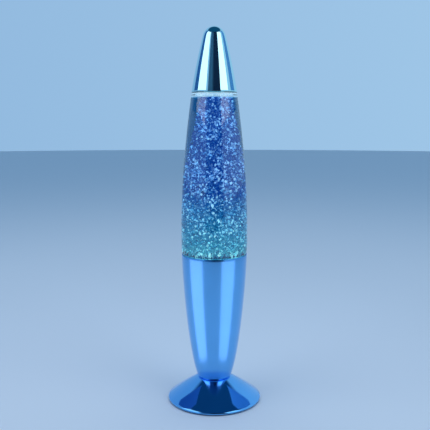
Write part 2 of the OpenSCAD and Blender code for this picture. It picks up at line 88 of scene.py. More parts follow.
def linear(hex_colour):
    """An sRGB hex colour as linear red, green and blue."""
    shares = [int(hex_colour[i:i + 2], 16) / 255 for i in (1, 3, 5)]
    return tuple(c / 12.92 if c <= 0.04045 else ((c + 0.055) / 1.055) ** 2.4 for c in shares)


# ---- Sizes and colours -------------------------------------------------------------------------

def size(name, default, description):
    """A length that a user may change."""
    return FloatProperty(name=name, description=description, default=default, unit="LENGTH", precision=5)


def share(name, default, description):
    """A plain number that a user may change."""
    return FloatProperty(name=name, description=description, default=default, precision=3)


def colour(name, hex_colour, description):
    """A colour that a user may change."""
    return FloatVectorProperty(
        name=name, description=description, default=linear(hex_colour), subtype="COLOR", min=0, max=1)


class LampShells(PropertyGroup):
    """Spun metal shells."""

    nose_radius: size("Nose radius", 10.5 * MM, "Radius of the cap's round nose")
    cap_taper: share("Cap taper", 0.161, "How fast the cap narrows just above its rim")
    cap_bulge: share("Cap bulge", 0.96, "How much faster it narrows further up, per metre")
    waist_radius: size("Waist radius", 14.6 * MM, "Radius where the cone's flank would meet the foot")
    waist_flare: share("Waist flare", 0.67, "How quickly the cone's flank leaves the waist")
    mouth_curve: share("Mouth curve", 1.34, "How the cone's flank rounds into its mouth")
    heel_radius: size("Heel radius", 3 * MM, "Radius of the bend at the cone's bottom")
    foot_top_radius: size("Foot top", 16 * MM, "Radius of the foot's flat top")
    cord_hole: size("Cord hole", 4.3 * MM, "Radius of the hole in the foot's rear wall")
    rim_bead: size("Rim bead", 1.1 * MM, "Radius of the rolled edge of the foot")
    cap_colour: colour("Cap", "#C8F6FA", "Polished aluminium with a faint cyan lacquer")
    base_colour: colour("Base", "#6CBAF8", "Polished aluminium under blue lacquer")


class LampBottle(PropertyGroup):
    """Glass bottle and its fluid."""

    shoulder_start: size("Shoulder start", 165 * MM, "Height where the glass starts to narrow")
    shoulder_curve: share("Shoulder curve", 1.8, "How the glass narrows towards the neck")
    ledge_radius: size("Ledge radius", 20.65 * MM, "Radius of the glass under the cap's rim")
    ledge_height: size("Ledge height", 291.3 * MM, "Height of the ledge that the cap's rim rests on")
    wall: size("Wall", 2.2 * MM, "Thickness of the glass")
    dye: colour("Dye", "#35C8E2", "Tint of the dyed fluid")
    dye_density: share("Dye density", 100, "Strength of the dye, per metre")


class LampGlitter(PropertyGroup):
    """Foil flakes in the fluid."""

    count: IntProperty(name="Flakes", description="Number of foil flakes", default=22000, min=100, max=30000)
    radius: size("Flake radius", 0.95 * MM, "Corner radius of a middling flake")
    clear_wall: share("Clear wall", 0.42, "Share of the radius that stays free of flakes at the top")
    seed: IntProperty(name="Seed", description="Start of the random places", default=11, min=0)
    cloud: size("Cloud", 15 * MM, "Size of the drifting clouds of brighter flakes")
    drift: size("Drift", 1.4 * MM, "How far the flakes have drifted to the right at the top")
    clear_foot: size("Clear foot", 1.6 * MM, "Height above the cone's mouth that stays free of flakes")
    settled: share("Settled", 0.13, "Share of the flakes that lie in the part of the bottle inside the cone")
    # Painted light on the flakes. The shade colours are painted shade for flakes that miss the light. The
    # glint colours are a painted glint for flakes that catch it. The bottom colours add a painted glow from
    # the bulb below.
    painted_shade_top: colour("Dim, top", "#0A4590", "Flakes that miss the light, high up")
    painted_shade_bottom: colour("Dim, bottom", "#3592A0", "Flakes that miss the light, near the bulb")
    painted_glint_top: colour("Bright, top", "#C2E0FF", "Flakes that catch the light, high up")
    painted_glint_bottom: colour("Bright, bottom", "#C4FFF6", "Flakes that catch the light, near the bulb")


class LampStage(PropertyGroup):
    """Studio."""

    floor_colour: colour("Floor", "#DCE8F4", "Pale matte floor")
    sky_left: colour("Walls, left", "#8AB2DA", "Pale blue walls on the left")
    sky_right: colour("Walls, right", "#A6CDEC", "Pale blue walls on the right")
    sky_zenith: colour("Ceiling", "#12486C", "Dark blue ceiling")
    flag_dark: colour("Flag", "#08223B", "Dark cloth behind the camera")
    flag_teal: colour("Flag, left", "#456A82", "Lighter stretch of that cloth")
    card_left: colour("Card, left", "#376CA8", "Blue card that the cap's left side mirrors")
    card_right: colour("Card, right", "#6FA8DA", "Blue card that the cap's right side mirrors")


# ---- Modelling helpers -------------------------------------------------------------------------

def start_piece(name, radius, height):
    """Adds a ring of points at a height, ready to be extruded in edit mode."""
    bpy.ops.object.select_all(action="DESELECT")
    bpy.ops.mesh.primitive_circle_add(vertices=SEGMENTS, radius=radius, location=(0, 0, height))
    piece = bpy.context.object
    piece.name = piece.data.name = name
    bpy.ops.object.transform_apply(location=True, rotation=True, scale=True)
    bpy.ops.object.mode_set(mode="EDIT")
    bpy.ops.mesh.select_all(action="SELECT")
    return piece


def turn_on(rings):
    """Extrudes the selected ring through each next radius and height, as on a lathe."""
    (radius, height) = rings[0]
    for next_radius, next_height in rings[1:]:
        bpy.ops.mesh.extrude_region_move(TRANSFORM_OT_translate={"value": (0, 0, next_height - height)})
        factor = next_radius / radius
        bpy.ops.transform.resize(value=(factor, factor, 1), center_override=(0, 0, next_height))
        radius, height = next_radius, next_height


def turned(name, rings, close_start=False, close_end=False):
    """A turned skin through rings of (radius, height), with its ends drawn to a point where asked."""
    piece = start_piece(name, *rings[0])
    if close_start:
        bpy.ops.mesh.extrude_region_move()
        bpy.ops.mesh.merge(type="CENTER")
        bpy.ops.mesh.select_all(action="DESELECT")
        select_ring(piece, rings[0][1], rings[0][0])
    turn_on(rings)
    if close_end:
        bpy.ops.mesh.extrude_region_move()
        bpy.ops.mesh.merge(type="CENTER")
    bpy.ops.mesh.select_all(action="SELECT")
    bpy.ops.mesh.normals_make_consistent(inside=False)
    bpy.ops.object.mode_set(mode="OBJECT")
    return piece


def select_ring(piece, height, radius):
    """Selects the points of one ring, in edit mode."""
    bpy.ops.object.mode_set(mode="OBJECT")
    near = 0.01 * MM
    for v in piece.data.vertices:
        v.select = abs(v.co.z - height) < near and abs(math.hypot(v.co.x, v.co.y) - radius) < near
    bpy.ops.object.mode_set(mode="EDIT")


def apply_modifier(piece, kind, **settings):
    """Adds a modifier, sets it up and applies it."""
    modifier = piece.modifiers.new(kind.title(), kind)
    for key, value in settings.items():
        setattr(modifier, key, value)
    bpy.context.view_layer.objects.active = piece
    bpy.ops.object.modifier_apply(modifier=modifier.name)


def smooth(piece, angle=35):
    """Shades a piece smooth, but for its sharp edges."""
    bpy.ops.object.select_all(action="DESELECT")
    piece.select_set(True)
    bpy.context.view_layer.objects.active = piece
    bpy.ops.object.shade_smooth_by_angle(angle=math.radians(angle))


def thicken(piece):
    """Gives a skin the thickness of the sheet, towards the inside, with softened edges."""
    apply_modifier(piece, "SOLIDIFY", thickness=SHEET, offset=-1, use_even_offset=True)
    apply_modifier(piece, "BEVEL", width=SHEET_EDGE, segments=2, limit_method="ANGLE",
                   angle_limit=math.radians(50))


def arc(centre, radius, start, end, steps):
    """Rings along an arc; angles in degrees, from straight out, turning up."""
    angles = [math.radians(start + (end - start) * i / steps) for i in range(steps + 1)]
    return [(centre[0] + radius * math.cos(a), centre[1] + radius * math.sin(a)) for a in angles]


def finish_piece(piece, body, slot, material, *nodes):
    """Gives a piece its finish and its body, and hides the CAD nodes that it stands for."""
    piece.data.materials.clear()
    piece.data.materials.append(material)
    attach(piece, body)
    if nodes:
        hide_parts(*nodes)


# ---- Shapes ------------------------------------------------------------------------------------

def cap_rings(s):
    """Rings of the cap, from its rim to near its tip."""
    low, high = BOXES["top_cap"]
    meet = 14
    nose = (0, high.z - s.nose_radius)
    rise = nose[1] + s.nose_radius * math.sin(math.radians(meet)) - low.z
    steps = 26
    heights = [rise * i / steps for i in range(steps)]
    flank = [(high.x - s.cap_taper * h - s.cap_bulge * h * h, low.z + h) for h in heights]
    return flank + arc(nose, s.nose_radius, meet, 86, 18)


def cone_rings(s):
    """Rings of the base cone, from its mouth down to the middle of its floor."""
    low, high = BOXES["base_cone"]
    heel_z = low.z + s.heel_radius

    def radius(z):
        u = (z - low.z) / (high.z - low.z)
        return s.waist_radius + (high.x - s.waist_radius) * (1 - (1 - u ** s.waist_flare) ** s.mouth_curve)

    steps = 44
    flank = [heel_z + (high.z - heel_z) * (1 - i / steps) for i in range(steps)]
    heel = arc((radius(heel_z) - s.heel_radius, heel_z), s.heel_radius, -12, -90, 8)
    return [(radius(z), z) for z in flank] + heel + [(NIPPLE_HOLE, low.z)]


def foot_rings(s):
    """Rings of the foot, from its flat top out to the underside of its rolled rim."""
    low, high = BOXES["base_foot"]
    outer = high.x
    top = (s.foot_top_radius, high.z)
    rim = (outer - 0.5 * MM, 3 * MM)
    across, down = rim[0] - top[0], rim[1] - top[1]
    length = math.hypot(across, down)
    bulge = 2.5 * MM
    steps = 30
    flank = []
    for i in range(steps + 1):
        u = i / steps
        side = bulge * u * (1 - u)
        flank.append((top[0] + across * u - down / length * side, top[1] + down * u + across / length * side))
    bead = arc((outer - s.rim_bead, low.z + s.rim_bead), s.rim_bead, 40, -180, 14)
    return [(NIPPLE_HOLE, high.z), (10 * MM, high.z)] + flank + bead


def bottle_radius(s, z):
    """Outer radius of the glass at a height on its flank."""
    widest = BOXES["glass_bottle"][1].x
    v = max(0, (z - s.shoulder_start) / (s.ledge_height - s.shoulder_start))
    return widest - (widest - s.ledge_radius) * v ** s.shoulder_curve


def punt(raised):
    """The pushed-up middle of the bottle's base, or of its floor, raised by a number of mm."""
    low = BOXES["glass_bottle"][0]
    return [(r * MM, low.z + (h + raised) * MM) for r, h in ((1, 2.4), (9, 1.8), (15, 0.7), (18, 0))]


def bottle_outline(s):
    """Outside of the glass, from the middle of its base up to its lip."""
    low, high = BOXES["glass_bottle"]
    mouth = BOXES["base_cone"][1].z
    ledge = s.ledge_height
    steps = 40
    heel = arc((22.5 * MM, low.z + GLASS_HEEL), GLASS_HEEL, -90, -6, 10)
    step = [(29.4 * MM, mouth + 0.1 * MM), (30.1 * MM, mouth + 0.55 * MM), (30.5 * MM, mouth + 1.4 * MM),
            (30.8 * MM, mouth + 5 * MM)]
    start = mouth + 11 * MM
    flank = [start + (ledge - start) * i / steps for i in range(steps + 1)]
    neck = [(19.5 * MM, ledge), (19.4 * MM, ledge + 1.5 * MM)]
    neck += arc((16 * MM, ledge + 4 * MM), 3 * MM, 0, 60, 6)
    neck += arc((14.5 * MM, ledge + 12.5 * MM), 2 * MM, 240, 180, 6)
    finish = [(12.5 * MM, high.z - 7.5 * MM), (13.2 * MM, high.z - 6.5 * MM), (13.2 * MM, high.z - 2.5 * MM)]
    lip = arc((11.2 * MM, high.z - 2 * MM), 2 * MM, 0, 90, 6)
    return punt(0) + heel + step + [(bottle_radius(s, z), z) for z in flank] + neck + finish + lip


def bottle_inline(s, top):
    """Inside of the glass, from the middle of its floor up to a height."""
    low = BOXES["glass_bottle"][0]
    mouth = BOXES["base_cone"][1].z
    steps = 36
    heel = arc((20.5 * MM, low.z + 8.5 * MM), GLASS_HEEL, -90, -6, 8)
    step = [(29.4 * MM - s.wall, mouth + 0.1 * MM), (30.8 * MM - s.wall, mouth + 5 * MM)]
    start = mouth + 11 * MM
    flank = [start + (top - start) * i / steps for i in range(steps + 1)]
    return punt(4) + heel + step + [(bottle_radius(s, z) - s.wall, z) for z in flank]


def neck_inline(s):
    """Inside of the neck, from the end of the flank up to the lip."""
    high = BOXES["glass_bottle"][1]
    ledge = s.ledge_height
    shoulder = [(17.3 * MM, ledge - 0.5 * MM), (16.6 * MM, ledge + 1.5 * MM)]
    shoulder += arc((14 * MM, ledge + 3.5 * MM), 2.2 * MM, 0, 60, 5)
    return shoulder + [(10.2 * MM, ledge + 9.5 * MM), (8.2 * MM, ledge + 13 * MM), (8.2 * MM, high.z)]


# ---- Materials ---------------------------------------------------------------------------------

def add_node(tree, kind, sockets=(), stops=(), **settings):
    """Adds a node, sets its properties and colour stops, and fills its sockets with values or links."""
    made = tree.nodes.new(kind)
    for key, value in settings.items():
        setattr(made, key, value)
    for key, value in dict(sockets).items():
        named = [socket for socket in made.inputs if socket.identifier == key]
        socket = named[0] if named else made.inputs[key]
        if isinstance(value, bpy.types.NodeSocket):
            tree.links.new(value, socket)
        else:
            socket.default_value = value
    for i, (place, rgb) in enumerate(stops):
        elements = made.color_ramp.elements
        element = elements[i] if i < len(elements) else elements.new(place)
        element.position = place
        element.color = (*rgb, 1)
    return made


def new_material(name):
    """An empty material with its node tree and output."""
    material = bpy.data.materials.new(name)
    material.use_nodes = True
    tree = material.node_tree
    tree.nodes.clear()
    output = tree.nodes.new("ShaderNodeOutputMaterial")
    return material, tree, output


def grey(value):
    """A neutral linear colour."""
    return (value, value, value)


def scaled(rgb, factor):
    """A colour made lighter or darker, kept within 0 to 1."""
    return tuple(min(1, c * factor) for c in rgb)


RAMP = "ShaderNodeValToRGB"
NOISE = "ShaderNodeTexNoise"
BUMP = "ShaderNodeBump"
MIX = "ShaderNodeMix"
PLACE = "ShaderNodeTexCoord"
PRINCIPLED = "ShaderNodeBsdfPrincipled"


def spun_aluminium(name, rgb, roughness, haze):
    """Spun aluminium, polished and lacquered.

    The lathe leaves faint rings, every 0.7 mm or so, and polishing leaves a few duller patches.
    """
    material, tree, output = new_material(name)
    place = add_node(tree, PLACE).outputs["Object"]
    flat = add_node(tree, "ShaderNodeMapping", {"Vector": place, "Scale": (4, 4, 1 / LATHE_PITCH)}).outputs[0]
    lathe = {"Vector": flat, "Scale": 1.0, "Detail": 3.0, "Roughness": 0.6}
    rings = add_node(tree, NOISE, lathe).outputs["Fac"]
    patches = add_node(tree, NOISE, {"Vector": place, "Scale": 45, "Detail": 3.0}).outputs["Fac"]
    shades = ((0.35, scaled(rgb, 0.97)), (0.7, scaled(rgb, 1.03)))
    dullness = ((0.3, grey(roughness)), (0.75, grey(roughness + haze)))
    shader = add_node(tree, PRINCIPLED, {
        "Base Color": add_node(tree, RAMP, {"Fac": patches}, shades).outputs["Color"],
        "Metallic": 1.0,
        "Roughness": add_node(tree, RAMP, {"Fac": patches}, dullness).outputs["Color"],
        "Normal": add_node(tree, BUMP, {"Height": rings, "Distance": 0.0016 * MM}).outputs["Normal"],
        "Coat Weight": 0.4,
        "Coat Roughness": 0.03,
    })
    tree.links.new(shader.outputs[0], output.inputs["Surface"])
    return material


def bottle_glass():
    """Pressed soda-lime glass: clear, smooth, and faintly wavy from its mould."""
    material, tree, output = new_material("soda lime glass, moulded")
    place = add_node(tree, PLACE).outputs["Object"]
    waves = add_node(tree, NOISE, {"Vector": place, "Scale": 60, "Detail": 1.0}).outputs["Fac"]
    shader = add_node(tree, PRINCIPLED, {
        "Base Color": (*linear("#F4FBFF"), 1),
        "Roughness": 0.0,
        "IOR": GLASS_IOR,
        "Transmission Weight": 1.0,
        "Normal": add_node(tree, BUMP, {"Height": waves, "Distance": 0.02 * MM}).outputs["Normal"],
    })
    tree.links.new(shader.outputs[0], output.inputs["Surface"])
    return material


def dyed_fluid(s):
    """Water and glycol with blue dye: clear, and darker the further one looks through it."""
    material, tree, output = new_material("water and glycol, dyed blue")
    shader = add_node(tree, PRINCIPLED, {
        "Base Color": (1, 1, 1, 1),
        "Roughness": 0.0,
        "IOR": FLUID_IOR,
        "Transmission Weight": 1.0,
    })
    dye = add_node(tree, "ShaderNodeVolumeAbsorption", {"Color": (*s.dye, 1), "Density": s.dye_density})
    tree.links.new(shader.outputs[0], output.inputs["Surface"])
    tree.links.new(dye.outputs[0], output.inputs["Volume"])
    return material


def froth_bubbles():
    """Fine froth: a pale, broken film of bubbles. The bulb isn't lit, so it glows a little by itself."""
    material, tree, output = new_material("fine froth")
    place = add_node(tree, PLACE).outputs["Object"]
    bubbles = {"Vector": place, "Scale": 1 / BUBBLE}
    cells = add_node(tree, "ShaderNodeTexVoronoi", bubbles).outputs["Distance"]
    shades = ((0.1, linear("#9CD4F8")), (0.7, linear("#D0F2FF")))
    shade = add_node(tree, RAMP, {"Fac": cells}, shades).outputs["Color"]
    shader = add_node(tree, PRINCIPLED, {
        "Base Color": shade,
        "Roughness": 0.4,
        "Normal": add_node(tree, BUMP, {"Height": cells, "Distance": 0.15 * MM}).outputs["Normal"],
        "Emission Color": shade,
        "Emission Strength": 0.55,
    })
    tree.links.new(shader.outputs[0], output.inputs["Surface"])
    return material


def glitter_foil(s):
    """Metallised polyester foil, die cut. The bulb isn't lit, so each flake glows in its own shade, which is
    painted light: a painted glint or painted shade, and a painted glow from the bulb that is brighter and
    more cyan near the bottom.
    """
    material, tree, output = new_material("metallised polyester foil, die cut")
    tone = add_node(tree, "ShaderNodeAttribute", attribute_name="tone").outputs["Fac"]
    height = add_node(tree, "ShaderNodeAttribute", attribute_name="height").outputs["Fac"]
    painted_shade_stops = ((0.0, s.painted_shade_bottom), (0.4, s.painted_shade_top))
    painted_glint_stops = ((0.0, s.painted_glint_bottom), (0.5, s.painted_glint_top))
    painted_glint_share = ((0.55, grey(0.0)), (0.75, grey(0.3)), (0.95, grey(1.0)))
    # Painted light: tone blends from painted shade to painted glint, and height blends from the painted glow
    # near the bulb at the bottom to the top.
    shade = add_node(tree, MIX, {
        "Factor_Float": add_node(tree, RAMP, {"Fac": tone}, painted_glint_share).outputs["Color"],
        "A_Color": add_node(tree, RAMP, {"Fac": height}, painted_shade_stops).outputs["Color"],
        "B_Color": add_node(tree, RAMP, {"Fac": height}, painted_glint_stops).outputs["Color"],
    }, data_type="RGBA").outputs[2]
    shader = add_node(tree, PRINCIPLED, {
        "Base Color": shade,
        "Metallic": 0.5,
        "Roughness": 0.4,
        # Painted glow: the flakes light themselves with the painted colours, though they are no lamp.
        "Emission Color": shade,
        "Emission Strength": 0.95,
    })
    tree.links.new(shader.outputs[0], output.inputs["Surface"])
    return material


def moulded(name, hex_colour, roughness, grain, depth, metallic=0.0):
    """A solid finish with slightly uneven colour; the grain's size and its bump's depth are in mm."""
    material, tree, output = new_material(name)
    rgb = linear(hex_colour)
    place = add_node(tree, PLACE).outputs["Object"]
    fine = add_node(tree, NOISE, {"Vector": place, "Scale": 1 / (grain * MM), "Detail": 3.0}).outputs["Fac"]
    broad = add_node(tree, NOISE, {"Vector": place, "Scale": 90}).outputs["Fac"]
    shades = ((0.3, scaled(rgb, 0.88)), (0.7, scaled(rgb, 1.12)))
    dullness = ((0.3, grey(max(0.03, roughness - 0.06))), (0.7, grey(roughness + 0.06)))
    shader = add_node(tree, PRINCIPLED, {
        "Base Color": add_node(tree, RAMP, {"Fac": broad}, shades).outputs["Color"],
        "Metallic": metallic,
        "Roughness": add_node(tree, RAMP, {"Fac": fine}, dullness).outputs["Color"],
        "Normal": add_node(tree, BUMP, {"Height": fine, "Distance": depth * MM}).outputs["Normal"],
    })
    tree.links.new(shader.outputs[0], output.inputs["Surface"])
    return material


def clear_glass(name, hex_colour, ior, roughness):
    """Thin blown glass, with faint smears."""
    material, tree, output = new_material(name)
    place = add_node(tree, PLACE).outputs["Object"]
    smears = add_node(tree, NOISE, {"Vector": place, "Scale": 120}).outputs["Fac"]
    dullness = ((0.4, grey(roughness)), (0.8, grey(roughness + 0.05)))
    shader = add_node(tree, PRINCIPLED, {
        "Base Color": (*linear(hex_colour), 1),
        "Roughness": add_node(tree, RAMP, {"Fac": smears}, dullness).outputs["Color"],
        "IOR": ior,
        "Transmission Weight": 1.0,
    })
    tree.links.new(shader.outputs[0], output.inputs["Surface"])
    return material


# ---- Operators ---------------------------------------------------------------------------------

class LAMP_OT_cap(Operator):
    """Spins the bullet-shaped cap and polishes it"""

    bl_idname = "lamp.cap"
    bl_label = "Cap"

    def execute(self, context):
        s = context.scene.lamp_shells
        cap = turned("spun_cap", cap_rings(s), close_end=True)
        thicken(cap)
        ledge = BOXES["top_cap"][0].z
        for v in cap.data.vertices:
            v.co.z = max(v.co.z, ledge)     # the rim is cut level, to stand on the glass
        smooth(cap)
        metal = spun_aluminium("spun aluminium, polished", s.cap_colour, 0.035, 0.02)
        finish_piece(cap, "cap", "cap_metal", metal, "top_cap")
        return {"FINISHED"}


class LAMP_OT_cone(Operator):
    """Spins the cone that holds the bottle"""

    bl_idname = "lamp.cone"
    bl_label = "Base cone"

    def execute(self, context):
        s = context.scene.lamp_shells
        cone = turned("spun_cone", cone_rings(s))
        thicken(cone)
        smooth(cone)
        metal = spun_aluminium("spun aluminium, blue lacquer, cone", s.base_colour, 0.2, 0.05)
        finish_piece(cone, "base", "cone_metal", metal, "base_cone")
        return {"FINISHED"}


class LAMP_OT_foot(Operator):
    """Spins the flared foot with its rolled rim"""

    bl_idname = "lamp.foot"
    bl_label = "Foot"

    def execute(self, context):
        s = context.scene.lamp_shells
        foot = turned("spun_foot", foot_rings(s))
        thicken(foot)
        self.cord_hole(foot, s)
        smooth(foot)
        metal = spun_aluminium("spun aluminium, blue lacquer, foot", s.base_colour, 0.06, 0.03)
        finish_piece(foot, "base", "foot_metal", metal, "base_foot")
        return {"FINISHED"}

    def cord_hole(self, foot, s):
        """Drills the rear wall for the bush that the cord comes out of."""
        low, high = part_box("cord_gland")
        reach = 40 * MM
        bpy.ops.object.select_all(action="DESELECT")
        bpy.ops.mesh.primitive_cylinder_add(
            vertices=48, radius=s.cord_hole, depth=reach, rotation=(math.pi / 2, 0, 0),
            location=(0, low.y - 3 * MM + reach / 2, (low.z + high.z) / 2))
        drill = bpy.context.object
        apply_modifier(foot, "BOOLEAN", operation="DIFFERENCE", object=drill, solver="EXACT")
        bpy.data.objects.remove(drill)


class LAMP_OT_bottle(Operator):
    """Moulds the glass bottle with its hollow"""

    bl_idname = "lamp.bottle"
    bl_label = "Glass bottle"

    def execute(self, context):
        s = context.scene.lamp_bottle
        inside = bottle_inline(s, s.ledge_height - 3 * MM) + neck_inline(s)
        bottle = turned("moulded_bottle", bottle_outline(s) + inside[::-1], close_start=True, close_end=True)
        smooth(bottle, 50)
        finish_piece(bottle, "bottle", "bottle_glass", bottle_glass(), "glass_bottle")
        bottle.visible_shadow = False
        return {"FINISHED"}


class LAMP_OT_fluid(Operator):
    """Fills the bottle with dyed fluid up to its level"""

    bl_idname = "lamp.fluid"
    bl_label = "Fluid"

    def execute(self, context):
        s = context.scene.lamp_bottle
        level = BOXES["liquid_fill"][1].z
        wet = 0.05 * MM     # the fluid reaches this far into the glass, so no film of air is left
        rings = [(r + wet, z) for r, z in bottle_inline(s, level)]
        rings.append((2 * MM, level))
        fluid = turned("blue_fluid", rings, close_start=True, close_end=True)
        smooth(fluid, 50)
        finish_piece(fluid, "bottle", "liquid", dyed_fluid(s), "liquid_fill")
        fluid.visible_shadow = False
        self.froth(s, level)
        return {"FINISHED"}

    def froth(self, s, level):
        """Lays froth on the fluid, with a ragged edge against the glass."""
        edge = bottle_radius(s, level) - s.wall - 0.3 * MM
        top = level + 2.4 * MM
        chance = random.Random(3)
        rings = [(3 * MM, level - 0.4 * MM), (edge - 1 * MM, level - 0.9 * MM), (edge, level - 0.4 * MM),
                 (edge, top - 0.5 * MM), (edge - 0.6 * MM, top), (3 * MM, top)]
        froth = turned("froth", rings, close_start=True, close_end=True)
        for v in froth.data.vertices:
            if v.co.z < level - 0.3 * MM:
                v.co.z -= chance.uniform(0, 0.7 * MM)
        smooth(froth, 60)
        finish_piece(froth, "bottle", None, froth_bubbles())


class LAMP_OT_glitter(Operator):
    """Models one foil flake and scatters copies of it through the fluid, in one mesh"""

    bl_idname = "lamp.glitter"
    bl_label = "Glitter"

    def execute(self, context):
        s = context.scene.lamp_glitter
        bottle = context.scene.lamp_bottle
        points, sides = self.flake()
        chance = random.Random(s.seed)
        corners, faces, painted_glint_tones, heights = [], [], [], []
        for i in range(s.count):
            centre, up = self.place(s, bottle, chance, i < s.settled * s.count)
            across, along, out = self.axes(chance)
            radius = s.radius * chance.uniform(*FLAKE_SIZES)
            first = len(corners)
            corners += [centre + radius * (p.x * across + p.y * along + p.z * out) for p in points]
            faces += [[first + corner for corner in side] for side in sides]
            # The clouds make some stretches of flakes more likely to get the painted glint.
            cloud = noise.noise(centre / s.cloud)
            painted_glint_tones += [chance.random() ** math.exp(-CLOUD_CONTRAST * cloud)] * len(points)
            heights += [up] * len(points)
        mesh = bpy.data.meshes.new("glitter")
        mesh.from_pydata(corners, [], faces)
        # The tone picks painted glint or painted shade for each flake, and the height picks how much painted
        # glow from the bulb below it gets.
        mesh.attributes.new("tone", "FLOAT", "POINT").data.foreach_set("value", painted_glint_tones)
        mesh.attributes.new("height", "FLOAT", "POINT").data.foreach_set("value", heights)
        glitter = bpy.data.objects.new("glitter", mesh)
        context.collection.objects.link(glitter)
        finish_piece(glitter, "bottle", "glitter", glitter_foil(s), "glitter_flakes")
        return {"FINISHED"}

    def flake(self):
        """A long hexagon of foil, 1 from its middle to a side corner, folded a little along its length."""
        bpy.ops.object.select_all(action="DESELECT")
        bpy.ops.mesh.primitive_circle_add(vertices=6, radius=1, fill_type="NGON", location=(0, 0, 0))
        flake = bpy.context.object
        bpy.ops.object.mode_set(mode="EDIT")
        bpy.ops.mesh.select_all(action="SELECT")
        bpy.ops.transform.resize(value=(1, 1.25, 1))
        bpy.ops.mesh.select_all(action="DESELECT")
        bpy.ops.object.mode_set(mode="OBJECT")
        for v in flake.data.vertices:
            v.select = abs(v.co.x) < 0.01
        bpy.ops.object.mode_set(mode="EDIT")
        bpy.ops.mesh.vert_connect()
        bpy.ops.transform.translate(value=(0, 0, 0.25))
        bpy.ops.object.mode_set(mode="OBJECT")
        points = [v.co.copy() for v in flake.data.vertices]
        sides = [list(face.vertices) for face in flake.data.polygons]
        bpy.data.objects.remove(flake)
        if len(sides) != 2:
            raise RuntimeError("the flake has no fold")
        return points, sides

    def place(self, s, bottle, chance, settled):
        """A random place in the fluid, and its height as a share of the part that shows."""
        low, high = BOXES["liquid_fill"]
        mouth = BOXES["base_cone"][1].z
        if settled:
            up = 0
            z = chance.uniform(low.z + 2.5 * MM, mouth - FLAKE_GAP)
            wall = (20 + 5.5 * (z - low.z) / (mouth - low.z)) * MM
        else:
            up = chance.random()
            bottom = mouth + s.clear_foot
            z = bottom + (high.z - FLAKE_GAP - bottom) * up
            wall = min(bottle_radius(bottle, z), 28 * MM) - bottle.wall - FLAKE_GAP
        limit = wall * (1 - s.clear_wall * max(0, (up - CLEAR_FROM) / (1 - CLEAR_FROM)) ** 0.8)
        out = limit * math.sqrt(chance.random())
        turn = chance.uniform(0, math.tau)
        return Vector((s.drift * up + out * math.cos(turn), out * math.sin(turn), z)), up

    def axes(self, chance):
        """Three unit vectors square to each other, turned at random."""
        height = chance.uniform(-1, 1)
        turn = chance.uniform(0, math.tau)
        flat = math.sqrt(1 - height * height)
        out = Vector((flat * math.cos(turn), flat * math.sin(turn), height))
        across = Vector((-math.sin(turn), math.cos(turn), 0))
        return across, out.cross(across), out


# For moulded: name, colour, roughness, grain and bump in mm, and metallic share.
# For clear_glass: name, colour, refraction and roughness.
FINISHES = {
    "zinc_steel": (moulded, "zinc plated steel", "#B9BEC4", 0.32, 0.25, 0.004, 1.0),
    "brass": (moulded, "rolled brass", "#D9AE55", 0.25, 0.3, 0.004, 1.0),
    "spring_steel": (moulded, "drawn spring steel", "#A8A8AC", 0.3, 0.2, 0.003, 1.0),
    "tinned_copper": (moulded, "tinned copper", "#CFCBC0", 0.3, 0.3, 0.004, 1.0),
    "crown_tinplate": (moulded, "tinplate, lacquered", "#C9CBC9", 0.22, 0.3, 0.003, 1.0),
    "bulb_cap_metal": (moulded, "rolled aluminium", "#CFCFC8", 0.3, 0.3, 0.004, 1.0),
    "solder": (moulded, "soft solder", "#B8B8B6", 0.38, 0.3, 0.02, 1.0),
    "nickel_wire": (moulded, "drawn nickel", "#A39E90", 0.3, 0.2, 0.002, 1.0),
    "tungsten": (moulded, "tungsten coil", "#6E6A66", 0.45, 0.1, 0.01, 1.0),
    "seat_rubber": (moulded, "moulded rubber, seat", "#17181A", 0.75, 0.5, 0.03),
    "pad_rubber": (moulded, "moulded rubber, pads", "#1B1C1E", 0.8, 0.5, 0.03),
    "holder_phenolic": (moulded, "phenolic resin, pressed", "#141416", 0.3, 0.6, 0.01),
    "cover_plastic": (moulded, "polypropylene, textured mould", "#17181B", 0.55, 0.8, 0.05),
    "gland_plastic": (moulded, "polyamide, moulded", "#131417", 0.45, 0.6, 0.02),
    "clamp_nylon": (moulded, "natural nylon, clamp", "#D9D8D0", 0.45, 0.6, 0.02),
    "block_nylon": (moulded, "natural nylon, block", "#DEDDD4", 0.45, 0.6, 0.02),
    "crown_liner_plastic": (moulded, "foamed polyethylene", "#DCDCD6", 0.6, 0.4, 0.04),
    "vulcanised_fibre": (moulded, "vulcanised fibre", "#7A4430", 0.7, 0.4, 0.03),
    "black_glass": (moulded, "black vitrite glass", "#0C0C0E", 0.12, 1.0, 0.01),
    "pvc_brown": (moulded, "extruded vinyl, brown", "#5A3420", 0.4, 0.8, 0.01),
    "pvc_blue": (moulded, "extruded vinyl, blue", "#2A4FA8", 0.4, 0.8, 0.01),
    "pvc_green": (moulded, "extruded vinyl, green", "#5E9C2C", 0.4, 0.8, 0.01),
    "bulb_envelope": (clear_glass, "blown glass, frosted", "#F2F4F5", 1.47, 0.25),
    "stem_glass": (clear_glass, "pressed lead glass", "#E6F0F0", 1.55, 0.05),
}


class LAMP_OT_fittings(Operator):
    """Gives every fitting in the base and the neck its finish"""

    bl_idname = "lamp.fittings"
    bl_label = "Fittings"

    def execute(self, context):
        slot_of = {part["node"]: part["material_slot"] for part in frame["record"]["subparts"]}
        made = {}
        for node, piece in frame["nodes"].items():
            slot = slot_of[node]
            if slot not in FINISHES:
                continue
            if slot not in made:
                make, *values = FINISHES[slot]
                made[slot] = make(*values)
            piece.data.materials.clear()
            piece.data.materials.append(made[slot])
        for node in ("bulb_glass", "bulb_stem"):
            frame["nodes"][node].visible_shadow = False
        return {"FINISHED"}


